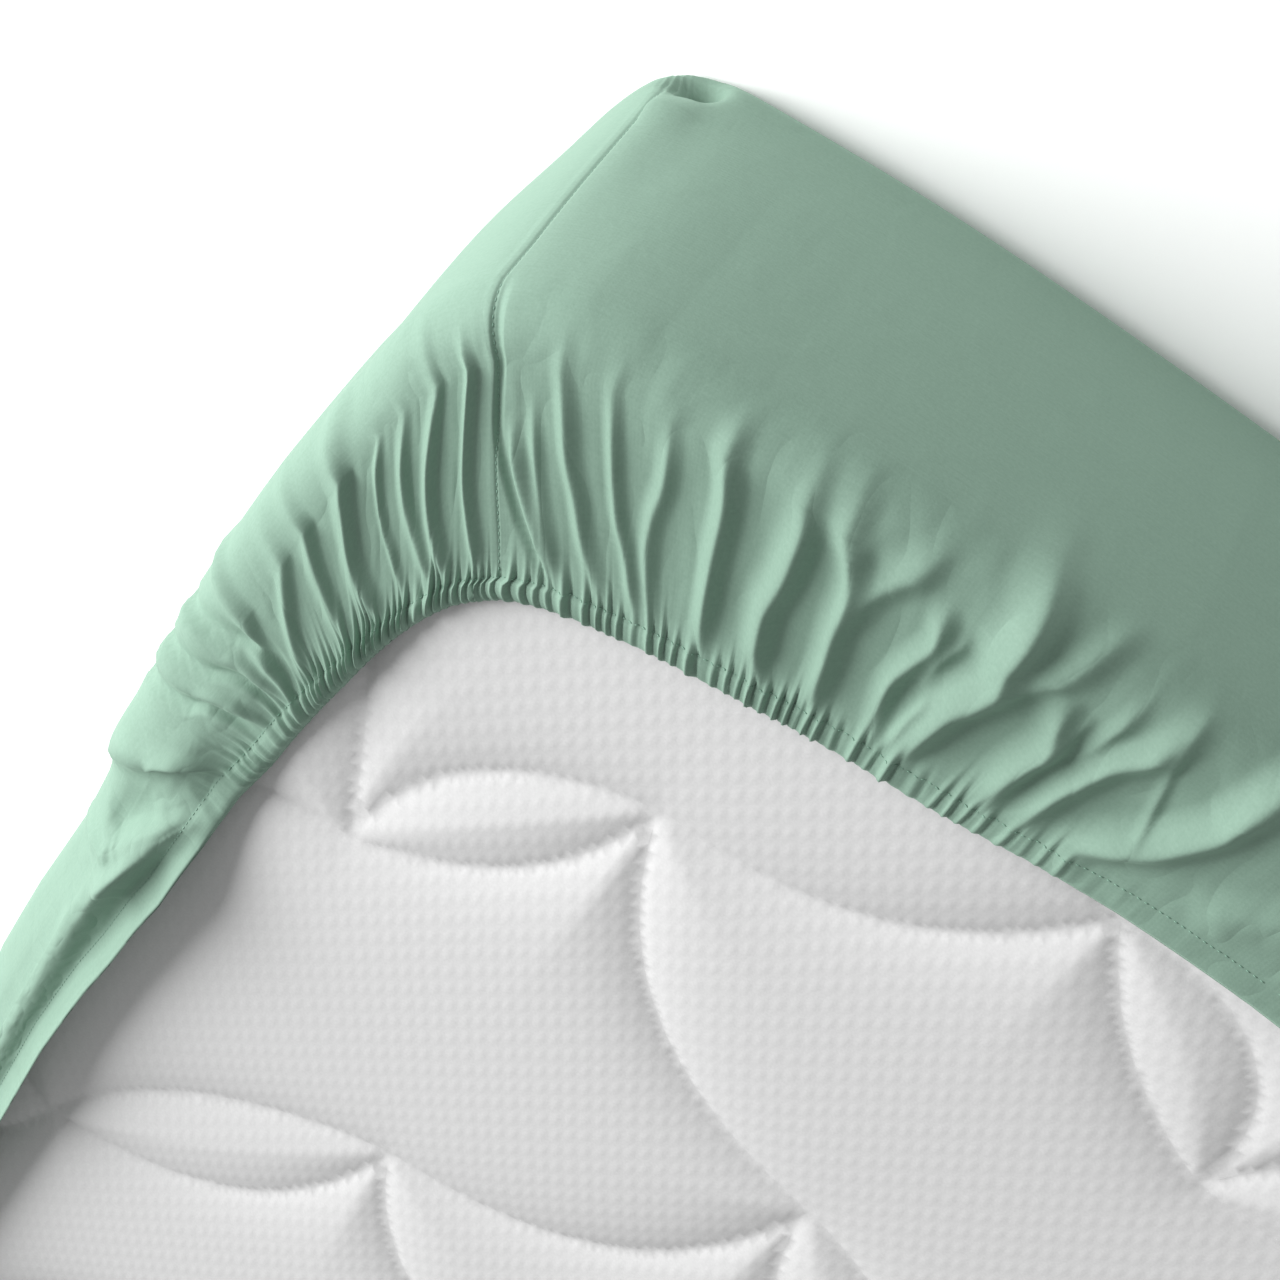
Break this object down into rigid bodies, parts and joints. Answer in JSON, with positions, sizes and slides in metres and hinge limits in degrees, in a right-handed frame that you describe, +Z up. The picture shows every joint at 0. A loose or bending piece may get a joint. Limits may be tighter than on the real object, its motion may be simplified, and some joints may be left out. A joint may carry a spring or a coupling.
{
  "type": "fitted sheet on a mattress",
  "caption": "Green cotton fitted sheet with elastic gathered corners, on a plain quilted mattress that lies on its sleeping face so that the hem shows.",
  "frame": {"origin": "on the floor under the middle of the mattress", "axes": "+Z up from the floor, with the mattress's underside and the hem on top; +Y along the mattress, +X across it"},
  "size_m": [0.8992, 1.9992, 0.2189],
  "materials": {
    "sheet_cotton": "plain woven cotton, sage green, soft sheen",
    "mattress_ticking": "white knitted ticking with small bumps, quilted"
  },
  "bodies": {
    "root": {"fitted_sheet": "sheet_cotton", "mattress": "mattress_ticking"}
  },
  "joints": []
}
